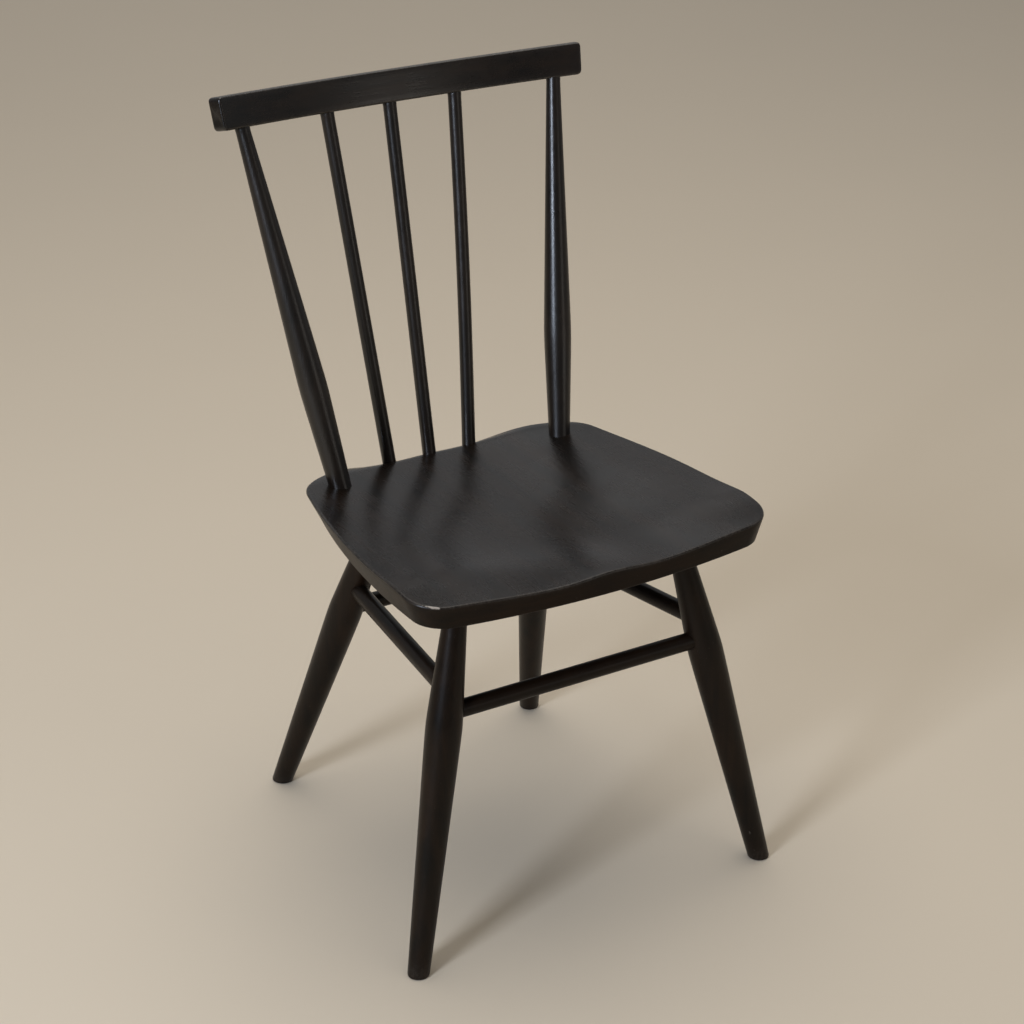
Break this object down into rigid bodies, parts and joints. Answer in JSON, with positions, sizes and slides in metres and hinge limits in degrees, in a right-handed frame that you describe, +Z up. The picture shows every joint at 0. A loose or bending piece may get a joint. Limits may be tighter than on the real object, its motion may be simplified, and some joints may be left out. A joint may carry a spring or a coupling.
{
  "type": "dining chair",
  "caption": "armless spindle-back chair: carved plank seat on splayed turned legs tied by round stretchers, with turned posts and slim sticks under a bowed, leaning crest rail",
  "frame": {"origin": "on the floor, under the centre of the whole chair's bounding box", "axes": "+Z is up; the front of the chair faces -Y and the back leans towards +Y; +X is the right-hand side seen from the front looking along +Y; X = 0 is the plane of symmetry"},
  "size_m": [0.4842, 0.502, 0.8849],
  "materials": {
    "painted_seat": "ebonised hardwood plank, satin lacquer, worn at the front arris",
    "painted_rail": "ebonised hardwood, satin lacquer",
    "painted_back": "ebonised turned hardwood, satin lacquer",
    "painted_base": "ebonised turned hardwood, satin lacquer, scuffed at the feet"
  },
  "bodies": {
    "root": {"seat": "painted_seat", "crest_rail": "painted_rail", "back_post_left": "painted_back", "back_post_right": "painted_back", "spindle_left": "painted_back", "spindle_centre": "painted_back", "spindle_right": "painted_back", "leg_front_left": "painted_base", "leg_front_right": "painted_base", "leg_rear_left": "painted_base", "leg_rear_right": "painted_base", "side_stretcher_left": "painted_base", "side_stretcher_right": "painted_base", "front_stretcher": "painted_base", "rear_stretcher": "painted_base"}
  },
  "joints": []
}
